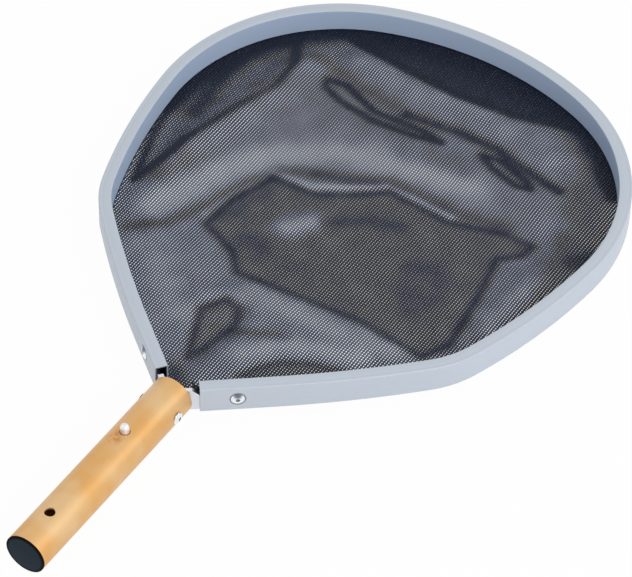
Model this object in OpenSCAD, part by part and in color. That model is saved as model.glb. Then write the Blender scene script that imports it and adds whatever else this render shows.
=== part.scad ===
// Leaf skimmer net for a pool: a flat net in a bent aluminium rim, on a short handle
// that plugs into a telescopic pole and locks there with a two-button spring clip.
// Y runs from the handle's end cap to the far side of the rim, Z is up, X is across.
// The origin is the centre of the end cap's outer face.

/* [Handle tube] */
// Outside diameter of the handle tube
tube_od = 28.6; // [24:0.1:36]
// Wall of the handle tube
tube_wall = 1.4; // [1:0.1:2.2]
// Length of the handle tube
tube_len = 160.8; // [140:0.2:260]
// Diameter of the four lock holes through the tube's wall
lock_hole_d = 7.2; // [6.8:0.1:9]
// Distance from the tube's head end back to the holes that hold the buttons
button_back = 54; // [48:0.5:70]
// Distance from the tube's cap end to the spare pair of lock holes
spare_hole_in = 25.9; // [22:0.1:32]

/* [End cap] */
// Thickness of the cap's flange
cap_flange = 1.2; // [0.8:0.1:3]
// Length of the cap's plug inside the tube
cap_plug_len = 14; // [8:0.5:16]
// Wall of the cap's hollow plug
cap_wall = 1.8; // [1.2:0.1:3]
// Gap between the plug and the tube's bore
cap_gap = 0.1; // [0.05:0.05:0.3]

/* [Snap clip] */
// Diameter of each lock button
button_d = 6.3; // [5:0.1:6.4]
// Height of a button's top over the tube at rest
button_proud = 6.5; // [4:0.1:7]
// Width of the clip's spring strip
strip_w = 9; // [8:0.5:10]
// Thickness of the spring strip
strip_t = 0.8; // [0.5:0.1:1]
// Radius of the strip's round end, to its middle line
strip_bend_r = 5; // [3:0.5:7]
// Length of the clip from its round end to the buttons
strip_reach = 62; // [50:1:70]
// Length of the flat pad on each side of a button
pad_half = 7; // [5:0.5:9]
// Gap between the strip's edges and the tube's bore
strip_gap = 0.35; // [0.3:0.05:0.8]
// Diameter of the rivet end that holds a button on the strip
tenon_d = 3; // [2:0.1:4]
// Diameter of the peened head under the strip
peen_d = 4.6; // [4.2:0.1:5.5]
// Thickness of the peened head
peen_t = 0.8; // [0.5:0.1:1.2]
// Gap between the rivet end and its hole in the strip
tenon_gap = 0.05; // [0.02:0.01:0.1]

/* [Rim] */
// Width of the rim's section, across its top face
rim_w = 8.9; // [8.6:0.1:14]
// Height of the rim's section
rim_h = 20.2; // [18:0.1:26]
// Wall of the rim's section
rim_wall = 1.2; // [1:0.1:1.4]
// Chamfer of the section's outer corners
rim_chamfer = 0.7; // [0.2:0.1:0.9]
// Angle between the two arms of the rim
arm_spread = 103; // [90:1:112]
// Straight length of each arm
arm_straight = 46; // [44:1:70]
// Radius of the long slow bend after each arm
side_r = 840; // [600:10:1200]
// Turn of the long slow bend
side_turn = 7.2; // [5:0.1:9]
// Radius of the shoulder bend
shoulder_r = 78; // [60:1:110]
// Turn of the shoulder bend
shoulder_turn = 24.1; // [20:0.1:28]
// Radius of the flank
flank_r = 443; // [350:1:600]
// Turn of the flank
flank_turn = 14.5; // [10:0.1:18]
// Radius of the far corner
corner_r = 144; // [120:1:170]
// Turn of the far corner
corner_turn = 75.4; // [70:0.1:78]

/* [Net and cord] */
// Diameter of the cord that holds the net's edge in the rim
cord_d = 2.2; // [1.8:0.1:2.4]
// Gap between the cord and its groove
cord_gap = 0.1; // [0.05:0.05:0.2]
// Wall between the groove and the rim's hollow
groove_wall = 0.9; // [0.7:0.1:1]
// Height of the groove's mouth
mouth_h = 1.6; // [1.3:0.1:1.8]
// Radius of the cord's bend across the neck
neck_r = 10; // [9:0.5:14]
// Free length of the cord beside each arm, from the neck to the rim's end
neck_gap = 9.4; // [8:0.2:14]
// Gap between the cord and the hub's front at the neck
neck_clear = 0.3; // [0.3:0.1:1]
// Length of the cord's tied end that stands up at one arm
tail_h = 12; // [8:0.5:13]
// Diameter of the tied end, which its knot draws a little thinner
tail_d = 2.1; // [1.6:0.1:2.3]
// Spacing of the net's threads in this coarse form
net_pitch = 20; // [18:0.5:30]
// Width of one thread band of the net
thread_w = 2; // [1.2:0.1:3]
// Thickness of the net
net_t = 0.9; // [0.6:0.1:1]
// Gap between the net's edge and the cord
net_gap = 0.3; // [0.2:0.05:0.5]
// Depth of the slack net under its edge
net_sag = 3; // [1:0.1:3.2]
// Distance from the rim over which the slack builds up
sag_run = 40; // [25:1:60]
// Height of the main folds of the slack net
fold_h = 5.2; // [2:0.2:6]
// Half breadth of the main folds
fold_w = 17; // [12:1:24]

/* [Yoke] */
// Length of the yoke's hub inside the tube
hub_len = 32; // [26:1:40]
// Distance that the hub's front stands out of the tube
hub_proud = 0.2; // [0.2:0.1:1]
// Wall of the hub
hub_wall = 3.2; // [2.5:0.1:4]
// Thickness of the hub's closed front
hub_front = 5; // [4:0.5:8]
// Gap between the hub and the tube's bore
hub_gap = 0.1; // [0.05:0.05:0.2]
// Thickness of each arm of the yoke
arm_t = 2.8; // [2:0.1:2.9]
// Length of each arm inside the rim
arm_in = 38; // [34:1:42]
// Height of the arm's top edge inside the rim, over the middle
arm_top = 4.2; // [3.8:0.1:6]
// Length of the step where the arm's top edge comes down to the rim's end
arm_step = 5; // [4:0.5:7]
// Gap between the arm and the rim's walls
arm_gap = 0.15; // [0.1:0.05:0.2]

/* [Blind rivets] */
// Diameter of the rivets' shank
rivet_d = 4.8; // [4:0.1:5]
// Diameter of the rivets' domed head
rivet_head_d = 9.4; // [7.5:0.1:10]
// Height of the domed head
rivet_head_h = 1.6; // [1.2:0.1:2.2]
// Diameter of the rivets' blind end
rivet_bulb_d = 6.8; // [6:0.1:7.5]
// Length of the blind end
rivet_bulb_h = 2; // [1.5:0.1:2]
// Gap round a rivet's shank and under its ends
rivet_gap = 0.05; // [0.03:0.01:0.1]
// Diameter of the mandrel's stem left in the rivet
mandrel_d = 2.7; // [2:0.1:3]
// Height of the mandrel's ball end past the blind end
mandrel_end_h = 0.8; // [0.5:0.1:0.9]
// Depth of the broken stem below the dome's top
mandrel_deep = 0.5; // [0.3:0.1:1]
// Distance from each arm's end to its rivet
arm_rivet_in = 24.5; // [20:0.5:30]
// Distance from the tube's head end to the rivets through the neck
neck_rivet_in = 15.6; // [13:0.1:20]

/* [Hidden] */
$fn = 64;

// Overlap that makes a cut run clean through a face
cut = 1;
// Overlap of a bend with the stretches before and after it
lap = 0.05;
// Every other stretch is slimmer by this much, so that it ends cleanly inside the next
seam = 0.01;
// Sides of a full turn of the long bends, and of the cord's round section
bend_sides = 360;
cord_sides = 48;

// Handle
tube_r = tube_od / 2;
bore_r = tube_r - tube_wall;
tube_end_y = cap_flange + tube_len;
button_y = tube_end_y - button_back;
spare_hole_y = cap_flange + spare_hole_in;
neck_rivet_y = tube_end_y - neck_rivet_in;
rivet_hole_r = rivet_d / 2 + rivet_gap;

// Hub of the yoke
hub_r = bore_r - hub_gap;
hub_in_r = hub_r - hub_wall;

// Snap clip
bore_edge_z = sqrt(pow(bore_r, 2) - pow(strip_w / 2, 2));
pad_top_z = bore_edge_z - strip_gap;
pad_mid_z = pad_top_z - strip_t / 2;
clip_end_y = button_y - strip_reach;
leg_run = strip_reach - pad_half - strip_bend_r;
leg_angle = atan2(pad_mid_z - strip_bend_r, leg_run);

// Section of the rim, measured inwards from its outer face
groove = cord_d + 2 * cord_gap;
groove_in = rim_w - rim_wall - groove;
cord_in = groove_in + groove / 2;
groove_floor_z = rim_wall - rim_h / 2;
cord_z = groove_floor_z + groove / 2;
net_in = cord_in + cord_d / 2 + net_gap;

// Outline of the rim's outer face on the +X side, as bends that follow each other.
// The neck bend crosses the middle, and the crown bend closes the outline there.
neck_outer_r = neck_r + cord_in;
hub_front_y = tube_end_y + hub_proud;
neck_y = hub_front_y + neck_clear + cord_d / 2 + neck_r;
arm_heading = 90 - arm_spread / 2;
function along(h) = [cos(h), sin(h)];
function left_of(h) = [-sin(h), cos(h)];
arm_start = [0, neck_y] - neck_outer_r * left_of(arm_heading) + neck_gap * along(arm_heading);
arm_end = arm_start + arm_straight * along(arm_heading);
function bend_end(b) = b[0] - b[1] * left_of(b[2] + b[3]);
function bend_after(p, r, h, turn) = [p + r * left_of(h), r, h, turn];
side_bend = bend_after(arm_end, side_r, arm_heading, side_turn);
shoulder_h = arm_heading + side_turn;
shoulder_bend = bend_after(bend_end(side_bend), shoulder_r, shoulder_h, shoulder_turn);
flank_h = shoulder_h + shoulder_turn;
flank_bend = bend_after(bend_end(shoulder_bend), flank_r, flank_h, flank_turn);
corner_h = flank_h + flank_turn;
corner_bend = bend_after(bend_end(flank_bend), corner_r, corner_h, corner_turn);
crown_h = corner_h + corner_turn;
crown_start = bend_end(corner_bend);
crown_r = crown_start[0] / sin(crown_h);
crown_y = crown_start[1] + crown_r * cos(crown_h);
side_bends = [side_bend, shoulder_bend, flank_bend, corner_bend];
crown_bend = [[0, crown_y], crown_r, crown_h, 2 * (180 - crown_h)];
neck_bend = [[0, neck_y], neck_outer_r, -arm_heading, 2 * arm_heading];

// Edge of the net on the +X side, from the neck to the crown, with a point at least
// every few degrees of a bend
edge_step = 3;
function bend_points(c, r, h, turn) =
    [for (i = [1 : ceil(turn / edge_step)])
        c - (r - net_in) * left_of(h + turn * i / ceil(turn / edge_step))];
net_edge = concat(
    [[0, neck_y - neck_outer_r + net_in]],
    bend_points([0, neck_y], neck_outer_r, 0, arm_heading),
    [arm_end + net_in * left_of(arm_heading)],
    [for (b = side_bends) each bend_points(b[0], b[1], b[2], b[3])],
    bend_points([0, crown_y], crown_r, crown_h, 180 - crown_h));
half_width_at = [for (p = net_edge) [p[1], p[0]]];
widest = max([for (p = net_edge) p[0]]);
widest_y = [for (p = net_edge) if (p[0] == widest) p[1]][0];
near_edge_at = [for (p = net_edge) if (p[1] <= widest_y) p];
far_edge_at = [for (p = net_edge) if (p[1] >= widest_y) p];
net_near_y = net_edge[0][1];
net_far_y = net_edge[len(net_edge) - 1][1];
net_len = net_far_y - net_near_y;

// Clear distance from a point of the net to the rim, measured along X and along Y
function room(x, y) = min(
    lookup(y, half_width_at) - abs(x),
    y - lookup(abs(x), near_edge_at),
    lookup(abs(x), far_edge_at) - y);
function in_net(x, y) =
    y > net_near_y && y < net_far_y && abs(x) < widest && room(x, y) > thread_w;

// Main folds of the slack net: each ridge runs between two points, given as shares of
// the half width and of the length, with its shares of the fold's height and breadth
ridges = [
    [[-0.72, 0.24], [-0.34, 0.50], 1, 1],
    [[-0.34, 0.50], [0.72, 0.63], 1, 1],
    [[-0.25, 0.26], [0.62, 0.29], 0.8, 0.94],
    [[0.66, 0.36], [0.72, 0.60], 0.76, 0.88],
    [[-0.45, 0.80], [0.40, 0.80], 0.92, 0.82]
];
function net_point(s) = [s[0] * widest, net_near_y + s[1] * net_len];
function off_line(p, a, b) =
    let (d = b - a, t = max(0, min(1, (p - a) * d / (d * d))))
    norm(p - a - t * d);
function ridge_z(p, r) =
    fold_h * r[2] * exp(-pow(off_line(p, net_point(r[0]), net_point(r[1])) / (fold_w * r[3]), 2));
function highest(p) = max([for (r = ridges) ridge_z(p, r)]);
function net_z(x, y) =
    let (build = min(1, max(0, room(x, y)) / sag_run))
    cord_z + build * (highest([x, y]) - net_sag);

// Points where the net's bands cross, on a grid that starts at its middle
rows = ceil(net_len / net_pitch / 2);
columns = ceil(widest / net_pitch);
net_mid_y = (net_near_y + net_far_y) / 2;
function grid_x(i) = i * net_pitch;
function grid_y(j) = net_mid_y + j * net_pitch;
function is_knot(i, j) = in_net(grid_x(i), grid_y(j));
knots = [for (i = [-columns : columns]) for (j = [-rows : rows]) if (is_knot(i, j)) [i, j]];

// The four ways out of a crossing
ways = [[1, 0], [0, 1], [-1, 0], [0, -1]];

// Length of a band that runs from a crossing towards the rim, where both of its edges
// stay clear of the cord
function run_out(x, y, way) =
    way[0] != 0 ? lookup(y, half_width_at) - abs(x) :
    way[1] > 0 ? lookup(abs(x), far_edge_at) - y : y - lookup(abs(x), near_edge_at);
function stub(x, y, way) = min(
    net_pitch - thread_w,
    run_out(x + way[1] * thread_w / 2, y + way[0] * thread_w / 2, way),
    run_out(x - way[1] * thread_w / 2, y - way[0] * thread_w / 2, way));

// Four corners of a band's end face, seen along its way: low left, low right, high right,
// high left
function end_face(c, way, z) =
    let (side = [-way[1], way[0]] * thread_w / 2)
    [for (k = [[1, -1], [-1, -1], [-1, 1], [1, 1]])
        [c[0] + k[0] * side[0], c[1] + k[0] * side[1], z + k[1] * net_t / 2]];
function knot_side(i, j, k) =
    let (c = [grid_x(i), grid_y(j)])
    end_face(c + ways[k] * thread_w / 2, ways[k], net_z(c[0], c[1]));

// Walls of a square tube between two end faces, as triangles
function band_walls(a, b) =
    [for (k = [0 : 3]) let (m = (k + 1) % 4) each [[a[k], b[m], a[m]], [a[k], b[k], b[m]]]];
function closed_end(f) = [[f[0], f[2], f[1]], [f[0], f[3], f[2]]];
function knot_faces(i, j) =
    let (own = [for (k = [0 : 3]) knot_side(i, j, k)],
         low = [for (f = own) f[0]],
         high = [for (f = own) f[3]])
    concat(
        [[high[0], high[1], high[2]], [high[0], high[2], high[3]]],
        [[low[0], low[2], low[1]], [low[0], low[3], low[2]]],
        [for (k = [0 : 3]) let (w = ways[k], next = is_knot(i + w[0], j + w[1]))
            each next ? (k < 2 ? joining_band(own[k], i + w[0], j + w[1], k) : []) :
                running_out(own[k], [grid_x(i), grid_y(j)], w)]);
function joining_band(from, i, j, k) =
    let (f = knot_side(i, j, (k + 2) % 4))
    band_walls(from, [f[1], f[0], f[3], f[2]]);
function running_out(from, c, way) =
    let (p = c + way * stub(c[0], c[1], way),
         f = end_face(p, way, net_z(p[0], p[1])))
    concat(band_walls(from, f), closed_end(f));
net_faces = [for (k = knots) each knot_faces(k[0], k[1])];

// Places on an arm of the rim, in the arm's own frame: X along it, Y inwards, Z up
module on_arm() {
    translate(arm_start) rotate(arm_heading) children();
}
module both_sides() {
    children();
    mirror([1, 0, 0]) children();
}

// Sweeps a section, given inwards and up, round one bend of the outline
module sweep_bend(b) {
    lap_turn = asin(lap / b[1]);
    translate(b[0])
        rotate_extrude(start = b[2] - 90 - lap_turn, angle = b[3] + 2 * lap_turn, $fn = bend_sides)
            translate([b[1], 0]) mirror([1, 0]) children();
}
module sweep_straight(from, len) {
    translate([from, 0, 0]) rotate([90, 0, 90]) linear_extrude(len) children();
}

module rim_section(slim = 0) {
    out = slim;
    in = rim_w - slim;
    low = slim - rim_h / 2;
    high = rim_h / 2 - slim;
    c = rim_chamfer;
    hollow = [rim_w, rim_h] - 2 * (rim_wall - slim) * [1, 1];
    difference() {
        polygon([[out + c, low], [in - c, low], [in, low + c], [in, high - c],
                 [in - c, high], [out + c, high], [out, high - c], [out, low + c]]);
        difference() {
            translate([rim_wall - slim, groove_floor_z - slim]) square(hollow);
            translate([groove_in - groove_wall + slim, low])
                square([rim_w, rim_wall + groove + groove_wall - 2 * slim]);
        }
        translate([groove_in - slim, groove_floor_z - slim]) square(groove + 2 * slim);
        translate([groove_in, cord_z - mouth_h / 2 - slim]) square([rim_w, mouth_h + 2 * slim]);
    }
}

module rim() {
    color("lightsteelblue") difference() {
        union() {
            both_sides() {
                on_arm() sweep_straight(0, arm_straight) rim_section();
                for (k = [0 : 3]) sweep_bend(side_bends[k]) rim_section(k % 2 == 0 ? seam : 0);
            }
            sweep_bend(crown_bend) rim_section(seam);
        }
        both_sides() on_arm() translate([arm_rivet_in, -cut, 0])
            rotate([-90, 0, 0]) cylinder(r = rivet_hole_r, h = rim_wall + 2 * cut);
    }
}

module cord_section(slim = 0) {
    translate([cord_in, cord_z]) circle(d = cord_d - 2 * slim, $fn = cord_sides);
}

module edge_cord() {
    color("black") {
        both_sides() {
            on_arm() sweep_straight(-neck_gap, neck_gap + arm_straight) cord_section();
            for (k = [0 : 3]) sweep_bend(side_bends[k]) cord_section(k % 2 == 0 ? seam : 0);
        }
        sweep_bend(crown_bend) cord_section(seam);
        sweep_bend(neck_bend) cord_section(seam);
        on_arm() translate([-cord_d, cord_in, cord_z]) {
            cylinder(d = tail_d, h = tail_h);
            translate([0, 0, tail_h]) sphere(d = tail_d);
        }
    }
}

module net() {
    points = [for (f = net_faces) each f];
    faces = [for (k = [0 : len(net_faces) - 1]) [3 * k + 2, 3 * k + 1, 3 * k]];
    color("dimgray") polyhedron(points, faces);
}

module handle_tube() {
    color("goldenrod") difference() {
        translate([0, cap_flange, 0]) rotate([-90, 0, 0]) cylinder(r = tube_r, h = tube_len);
        translate([0, cap_flange - cut, 0]) rotate([-90, 0, 0])
            cylinder(r = bore_r, h = tube_len + 2 * cut);
        for (y = [button_y, spare_hole_y]) translate([0, y, -tube_r - cut])
            cylinder(d = lock_hole_d, h = tube_od + 2 * cut);
        translate([-tube_r - cut, neck_rivet_y, 0]) rotate([0, 90, 0])
            cylinder(r = rivet_hole_r, h = tube_od + 2 * cut);
    }
}

module end_cap() {
    plug_r = bore_r - cap_gap;
    color("darkslategray") rotate([-90, 0, 0]) difference() {
        union() {
            cylinder(r = tube_r, h = cap_flange);
            cylinder(r = plug_r, h = cap_flange + cap_plug_len);
        }
        translate([0, 0, cap_flange + cap_wall]) cylinder(r = plug_r - cap_wall, h = cap_plug_len);
    }
}

// One arm of the yoke: it starts on the hub's front and steps down into the rim's end
module yoke_arm() {
    low = groove_floor_z + arm_gap;
    high = -low;
    back = neck_gap + neck_outer_r;
    difference() {
        on_arm() translate([0, rim_wall + arm_gap + arm_t, 0]) rotate([90, 0, 0])
            linear_extrude(arm_t)
                polygon([[-back, low], [arm_in, low], [arm_in, arm_top], [0, arm_top],
                         [-arm_step, high], [-back, high]]);
        translate([-tube_od, 0, -tube_r])
            cube([2 * tube_od, tube_end_y + hub_proud / 2, tube_od]);
        on_arm() translate([arm_rivet_in, 0, 0]) rotate([-90, 0, 0])
            cylinder(r = rivet_hole_r, h = rim_w);
    }
}

module yoke() {
    color("gainsboro") {
        difference() {
            translate([0, hub_front_y - hub_len, 0]) rotate([-90, 0, 0])
                cylinder(r = hub_r, h = hub_len);
            translate([0, hub_front_y - hub_len - cut, 0]) rotate([-90, 0, 0])
                cylinder(r = hub_in_r, h = hub_len - hub_front + cut);
            translate([-tube_r, neck_rivet_y, 0]) rotate([0, 90, 0])
                cylinder(r = rivet_hole_r, h = tube_od);
        }
        both_sides() yoke_arm();
    }
}

// A set blind rivet that goes in along +Z from its head, which sits on z = 0
module rivet_body(grip) {
    bulb_z = grip + rivet_gap;
    dome_r = (pow(rivet_head_d / 2, 2) + pow(rivet_head_h, 2)) / (2 * rivet_head_h);
    difference() {
        union() {
            intersection() {
                translate([0, 0, dome_r - rivet_head_h]) sphere(r = dome_r);
                translate([0, 0, -rivet_head_h]) cylinder(d = rivet_head_d + cut, h = rivet_head_h);
            }
            translate([0, 0, -rivet_head_h / 2])
                cylinder(d = rivet_d, h = bulb_z + rivet_head_h / 2 + rivet_bulb_h / 2);
            translate([0, 0, bulb_z]) cylinder(d = rivet_bulb_d, h = rivet_bulb_h);
        }
        translate([0, 0, -rivet_head_h - cut])
            cylinder(d = mandrel_d, h = rivet_head_h + bulb_z + rivet_bulb_h + 2 * cut);
    }
}
module rivet_mandrel(grip) {
    end_z = grip + rivet_gap + rivet_bulb_h;
    start_z = mandrel_deep - rivet_head_h;
    translate([0, 0, start_z])
        cylinder(d = mandrel_d - 2 * rivet_gap, h = end_z + rivet_gap - start_z + mandrel_end_h / 2);
    translate([0, 0, end_z + rivet_gap])
        cylinder(d1 = rivet_d - rivet_gap, d2 = mandrel_d, h = mandrel_end_h);
}
module at_arm_rivets() {
    both_sides() on_arm() translate([arm_rivet_in, -rivet_gap, 0]) rotate([-90, 0, 0]) children();
}
module at_neck_rivets() {
    both_sides() translate([tube_r + rivet_gap, neck_rivet_y, 0]) rotate([0, -90, 0]) children();
}
arm_grip = rivet_gap + rim_wall + arm_gap + arm_t;
// The blind end seats on the edges of the hub's round inside
neck_grip = rivet_gap + tube_r - sqrt(pow(hub_in_r, 2) - pow(rivet_bulb_d / 2, 2));

module arm_rivets() {
    color("silver") at_arm_rivets() rivet_body(arm_grip);
}
module arm_rivet_mandrels() {
    color("gray") at_arm_rivets() rivet_mandrel(arm_grip);
}
module neck_rivets() {
    color("silver") at_neck_rivets() rivet_body(neck_grip);
}
module neck_rivet_mandrels() {
    color("gray") at_neck_rivets() rivet_mandrel(neck_grip);
}

// The spring clip in side view: Y to the right, Z up, from the middle of its round end
module clip_leg() {
    // The leg leaves the round end on its tangent, and starts inside it
    run = [cos(leg_angle), sin(leg_angle)];
    rise = [-sin(leg_angle), cos(leg_angle)];
    root = strip_bend_r * rise - lap * run;
    pad = [strip_reach - pad_half - strip_bend_r, pad_mid_z];
    half_t = strip_t / 2;
    polygon([root - (half_t - seam) * rise, pad - [0, half_t], pad + [2 * pad_half, -half_t],
             pad + [2 * pad_half, half_t], pad + [0, half_t], root + (half_t - seam) * rise]);
}
module clip_round_end() {
    reach = 2 * (strip_bend_r + strip_t);
    rise = [-sin(leg_angle), cos(leg_angle)];
    difference() {
        circle(d = 2 * strip_bend_r + strip_t);
        circle(d = 2 * strip_bend_r - strip_t);
        polygon([[0, 0], reach * rise, [reach, reach], [reach, -reach],
                 reach * [rise[0], -rise[1]]]);
    }
}

module clip_spring() {
    color("lightgray") difference() {
        translate([-strip_w / 2, clip_end_y + strip_bend_r, 0]) rotate([90, 0, 90]) {
            linear_extrude(strip_w) clip_round_end();
            linear_extrude(strip_w) clip_leg();
            linear_extrude(strip_w) mirror([0, 1]) clip_leg();
        }
        translate([0, button_y, -tube_r]) cylinder(d = tenon_d + 2 * tenon_gap, h = tube_od);
    }
}

module button() {
    button_r = button_d / 2;
    shank_h = tube_r + button_proud - button_r - pad_top_z - tenon_gap;
    translate([0, button_y, pad_top_z + tenon_gap]) {
        cylinder(r = button_r, h = shank_h);
        translate([0, 0, shank_h]) sphere(r = button_r);
        translate([0, 0, -strip_t - 2 * tenon_gap - peen_t / 2])
            cylinder(d = tenon_d, h = strip_t + 3 * tenon_gap + peen_t);
        translate([0, 0, -strip_t - 2 * tenon_gap - peen_t]) cylinder(d = peen_d, h = peen_t);
    }
}
module upper_button() {
    color("whitesmoke") button();
}
module lower_button() {
    color("whitesmoke") mirror([0, 0, 1]) button();
}

handle_tube();
end_cap();
rim();
net();
edge_cord();
yoke();
arm_rivets();
arm_rivet_mandrels();
neck_rivets();
neck_rivet_mandrels();
clip_spring();
upper_button();
lower_button();
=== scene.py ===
# Looks of a leaf skimmer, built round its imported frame. All lengths are in metres, or in
# millimetres times mm. +Y runs from the handle's cap to the far side of the rim, +Z is up.
import bpy
import bmesh
import math
import numpy as np
from mathutils import Matrix, Vector, noise
from mathutils.kdtree import KDTree


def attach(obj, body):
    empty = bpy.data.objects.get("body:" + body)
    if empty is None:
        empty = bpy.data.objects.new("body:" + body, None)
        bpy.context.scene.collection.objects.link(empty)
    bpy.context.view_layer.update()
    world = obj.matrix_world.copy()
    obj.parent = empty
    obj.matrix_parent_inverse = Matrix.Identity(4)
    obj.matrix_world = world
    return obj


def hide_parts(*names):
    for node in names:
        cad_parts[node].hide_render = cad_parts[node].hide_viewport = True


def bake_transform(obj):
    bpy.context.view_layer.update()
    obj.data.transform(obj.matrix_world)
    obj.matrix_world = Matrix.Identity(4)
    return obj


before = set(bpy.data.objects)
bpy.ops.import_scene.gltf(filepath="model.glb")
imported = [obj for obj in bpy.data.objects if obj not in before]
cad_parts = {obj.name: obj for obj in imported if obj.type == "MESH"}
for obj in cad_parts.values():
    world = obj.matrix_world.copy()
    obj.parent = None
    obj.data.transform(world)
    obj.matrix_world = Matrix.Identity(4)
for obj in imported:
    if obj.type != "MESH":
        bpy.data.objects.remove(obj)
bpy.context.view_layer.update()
mm = 0.001
print("frame loaded")


def linearColour(hexValue):
    # sRGB hex to linear, with alpha 1
    channels = [int(hexValue[i:i + 2], 16) / 255 for i in (1, 3, 5)]
    return [c / 12.92 if c <= 0.04045 else ((c + 0.055) / 1.055) ** 2.4 for c in channels] + [1]


def addNode(tree, kind, settings=None, links=None):
    # A setting goes to the node's own property of that name, or else to its input. On a Mix node
    # of colours, 6 and 7 are the two inputs and 2 is the output.
    node = tree.nodes.new(kind)
    for name, value in (settings or {}).items():
        if isinstance(name, str) and hasattr(node, name):
            setattr(node, name, value)
        else:
            node.inputs[name].default_value = value
    for name, (source, output) in (links or {}).items():
        tree.links.new(source.outputs[output], node.inputs[name])
    return node


def newMaterial(name, settings):
    material = bpy.data.materials.new(name)
    material.use_nodes = True
    tree = material.node_tree
    shader = tree.nodes["Principled BSDF"]
    for key, value in settings.items():
        shader.inputs[key].default_value = linearColour(value) if isinstance(value, str) else value
    return material, tree, shader


def sameBothSides(tree, place):
    # Object coordinates with left folded onto right, for marks that both sides carry
    parts = addNode(tree, "ShaderNodeSeparateXYZ", links={0: (place, "Object")})
    side = addNode(tree, "ShaderNodeMath", {"operation": "ABSOLUTE"}, {0: (parts, 0)})
    return addNode(tree, "ShaderNodeCombineXYZ", links={0: (side, 0), 1: (parts, 1), 2: (parts, 2)})


def markAt(tree, source, output, centre, zeroAt, oneAt):
    # A mark that is 0 at one distance from the centre and 1 at another
    spot = addNode(tree, "ShaderNodeVectorMath", {"operation": "DISTANCE", 1: centre},
                   {0: (source, output)})
    return addNode(tree, "ShaderNodeMapRange", {"From Min": zeroAt, "From Max": oneAt},
                   {"Value": (spot, "Value")})


def dress(thing, material):
    thing.data.materials.clear()
    thing.data.materials.append(material)


def newPiece(name, mesh, material, body, replaced=()):
    # body is None for a piece that is attached to no body here
    piece = bpy.data.objects.new(name, mesh)
    bpy.context.scene.collection.objects.link(piece)
    dress(piece, material)
    if body:
        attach(piece, body)
    if replaced:
        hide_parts(*replaced)
    return piece


def meshFrom(bm, name, sharpAngle=35):   # in degrees
    mesh = bpy.data.meshes.new(name)
    bm.to_mesh(mesh)
    bm.free()
    mesh.shade_smooth()
    mesh.set_sharp_from_angle(angle=math.radians(sharpAngle))
    return mesh


view = {
    "target": (24.562 * mm, 293.555 * mm, 0),
    "azimuth": 31.819,       # degrees, as are elevation and roll
    "elevation": 45.734,
    "roll": 1.522,
    "distance": 2301.82 * mm,
    "lens": 196.83,
    "near": 0.1, "far": 20,  # clipping
}


def placeCamera():
    a, e, r = (math.radians(view[k]) for k in ("azimuth", "elevation", "roll"))
    back = Vector((math.sin(a) * math.cos(e), -math.cos(a) * math.cos(e), math.sin(e)))
    level = Vector((math.cos(a), math.sin(a), 0))
    upright = back.cross(level)
    right = math.cos(r) * level + math.sin(r) * upright
    up = -math.sin(r) * level + math.cos(r) * upright
    camera = bpy.data.objects.new("camera", bpy.data.cameras.new("camera"))
    camera.data.lens = view["lens"]
    camera.data.clip_start, camera.data.clip_end = view["near"], view["far"]
    turn = Matrix((right, up, back)).transposed().to_4x4()
    camera.matrix_world = Matrix.Translation(Vector(view["target"]) + back * view["distance"]) @ turn
    bpy.context.scene.collection.objects.link(camera)
    bpy.context.scene.camera = camera


stage = {
    "floorY": 108 * mm,        # the lower button stands on the floor here
    "floorZ": -20.9 * mm,
    "slope": 0.02339,          # from the button up to the rim's far side
    "size": 6.0,
    "floorColour": "#f2f2f4",
    "floorGlow": 0.97,         # share of plain white in what is seen of the floor
    "white": "#ffffff",
    "worldColour": "#f4f6fa",
    "worldStrength": 0.6,
}
lamps = {
    "key": {"place": (1.85, -0.45, 1.46), "size": 1.2, "power": 19, "colour": "#ffffff"},
    "glint": {"place": (1.55, 1.75, 1.25), "size": 0.9, "power": 4, "colour": "#ffffff"},
    "fill": {"place": (-1.6, -0.7, 1.7), "size": 1.6, "power": 2.5, "colour": "#f2f5ff"},
}


def seenDirectly(tree):
    # 1 for rays from the camera and for mirror and glass rays
    path = addNode(tree, "ShaderNodeLightPath")
    seen = addNode(tree, "ShaderNodeMath", {"operation": "MAXIMUM"},
                   {0: (path, "Is Camera Ray"), 1: (path, "Is Glossy Ray")})
    return addNode(tree, "ShaderNodeMath", {"operation": "MAXIMUM"},
                   {0: (seen, 0), 1: (path, "Is Transmission Ray")})


def buildFloor():
    bm = bmesh.new()
    bmesh.ops.create_grid(bm, x_segments=1, y_segments=1, size=stage["size"] / 2)
    slope = math.atan(stage["slope"])
    bmesh.ops.transform(bm, verts=bm.verts, matrix=Matrix.Translation(
        (0, stage["floorY"], stage["floorZ"])) @ Matrix.Rotation(slope, 4, "X"))
    floor = bpy.data.objects.new("floor", meshFrom(bm, "floor"))
    bpy.context.scene.collection.objects.link(floor)
    # Matt painted floor, nearly white where it is seen and lit as a pale floor everywhere else
    material, tree, shader = newMaterial("paintedFloor", {
        "Base Color": stage["floorColour"], "Roughness": 0.9, "Specular IOR Level": 0.1})
    share = addNode(tree, "ShaderNodeMath", {"operation": "MULTIPLY", 1: stage["floorGlow"]},
                    {0: (seenDirectly(tree), 0)})
    glow = addNode(tree, "ShaderNodeEmission", {"Color": linearColour(stage["white"]), "Strength": 1.0})
    mix = addNode(tree, "ShaderNodeMixShader", links={0: (share, 0), 1: (shader, 0), 2: (glow, 0)})
    tree.links.new(mix.outputs[0], tree.nodes["Material Output"].inputs["Surface"])
    dress(floor, material)


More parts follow.
